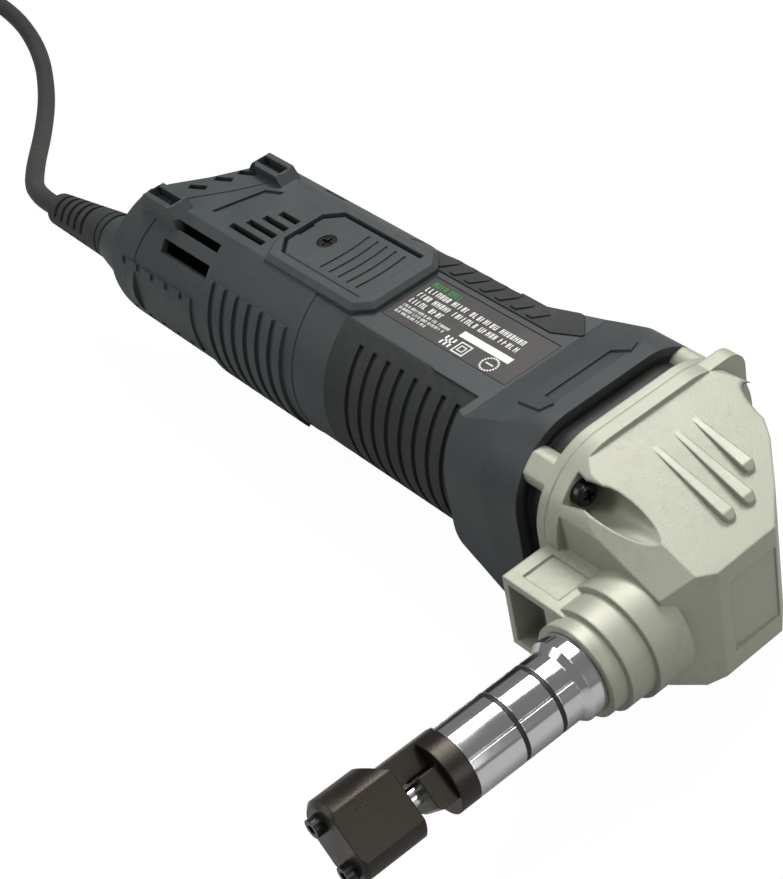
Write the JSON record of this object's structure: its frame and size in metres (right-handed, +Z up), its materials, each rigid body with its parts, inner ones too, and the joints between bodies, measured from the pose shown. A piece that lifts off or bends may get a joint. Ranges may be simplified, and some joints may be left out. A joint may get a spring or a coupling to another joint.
{
  "type": "nibbler tool",
  "caption": "Corded hand-held nibbler: barrel motor body, right-angle gear head, swivelling tool tube with punch and hooked die.",
  "frame": {"origin": "middle of the flat underside of the gear case rim, on which the tool lies", "axes": "+X from the cord to the head, the tool tube points along -Y, +Z up from the surface"},
  "size_m": [0.6435, 0.2116, 0.0723],
  "materials": {
    "housing": "fine-textured dark slate plastic",
    "cover": "fine-textured dark slate plastic",
    "rubber": "matte black-brown rubber",
    "label": "dark printed foil",
    "cast_grey": "cast light metal, grey-green, sandblasted",
    "cast_dark": "die-cast, dark",
    "steel": "machined steel",
    "dark_steel": "oily black-oxide steel",
    "polished": "polished hard chrome",
    "black_screw": "black zinc",
    "copper": "enamelled copper wire",
    "commutator": "turned copper",
    "brass": "pressed brass",
    "bronze": "sintered bronze",
    "carbon": "carbon",
    "black_plastic": "black plastic",
    "cord": "matte black rubber sheath",
    "lamination": "stacked electrical steel",
    "button": "ridged black plastic",
    "capacitor": "yellow moulded case"
  },
  "bodies": {
    "body": {"bearing_balls": "steel", "bearing_outer_races": "steel", "bearing_plate": "cast_dark", "belly_grip": "rubber", "blank_plate": "label", "brush_cover_bottom": "cover", "brush_cover_screws": "black_screw", "brush_cover_top": "cover", "brush_holders": "brass", "brush_springs": "steel", "carbon_brushes": "carbon", "carrier_plate": "cast_dark", "cord_clamp": "black_plastic", "cord_clamp_screws": "steel", "cord_coil": "cord", "cord_lead": "cord", "cord_tail": "cord", "crank_bush": "bronze", "crosshead_guides": "steel", "fan_baffle": "black_plastic", "field_coils": "copper", "flange_plate": "cast_grey", "gear_case": "cast_grey", "gear_case_screws": "black_screw", "grip_strips": "rubber", "label_plate": "label", "layshaft_bushes": "bronze", "mains_plug": "rubber", "motor_housing": "housing", "plug_pins": "steel", "rear_cover": "cover", "stator_core": "lamination", "strain_relief": "rubber", "suppressor": "capacitor", "switch_body": "black_plastic"},
    "armature": {"armature_shaft": "steel", "rotor_core": "lamination", "rotor_windings": "copper", "commutator": "commutator", "fan": "black_plastic", "motor_pinion": "steel", "bearing_inner_races": "steel"},
    "layshaft": {"layshaft": "steel", "layshaft_gear": "steel", "layshaft_pinion": "steel"},
    "crank": {"crank_shaft": "steel", "crank_gear": "steel", "crank_roller": "steel"},
    "crosshead": {"crosshead": "steel"},
    "tool": {"die_tube": "polished", "tube_retaining_ring": "steel", "tube_seal_rings": "black_plastic", "punch_guide": "dark_steel", "die_holder": "dark_steel", "die_insert": "steel", "die_screws": "black_screw"},
    "ram": {"ram": "steel", "punch": "polished", "punch_screw": "black_screw"},
    "switch_slider": {"switch_slider": "button"}
  },
  "joints": [
    {"name": "armature_spin", "type": "hinge", "parent": "body", "child": "armature", "pos_m": [-0.0733, 0, 0.036], "axis": [1, 0, 0], "continuous": true},
    {"name": "layshaft_spin", "type": "hinge", "parent": "body", "child": "layshaft", "pos_m": [0.0067, 0.01463, 0.036], "axis": [1, 0, 0], "continuous": true},
    {"name": "crank_spin", "type": "hinge", "parent": "body", "child": "crank", "pos_m": [0.0117, -0.0058, 0.036], "axis": [1, 0, 0], "continuous": true},
    {"name": "crosshead_slide", "type": "slide", "parent": "body", "child": "crosshead", "axis": [0, 1, 0], "range_m": [-0.00275, 0.00275]},
    {"name": "tool_swivel", "type": "hinge", "parent": "body", "child": "tool", "pos_m": [0.0267, -0.06, 0.036], "axis": [0, 1, 0], "range_deg": [-180, 180]},
    {"name": "ram_slide", "type": "slide", "parent": "tool", "child": "ram", "axis": [0, 1, 0], "range_m": [-0.00275, 0.00275]},
    {"name": "switch_slide", "type": "slide", "parent": "body", "child": "switch_slider", "axis": [1, 0, 0], "range_m": [0, 0.007]}
  ],
  "couplings": [
    {"joint": "layshaft_spin", "follows": "armature_spin", "ratio": -0.25},
    {"joint": "crank_spin", "follows": "armature_spin", "ratio": 0.075758},
    {"joint": "ram_slide", "follows": "crosshead_slide", "ratio": 1}
  ]
}
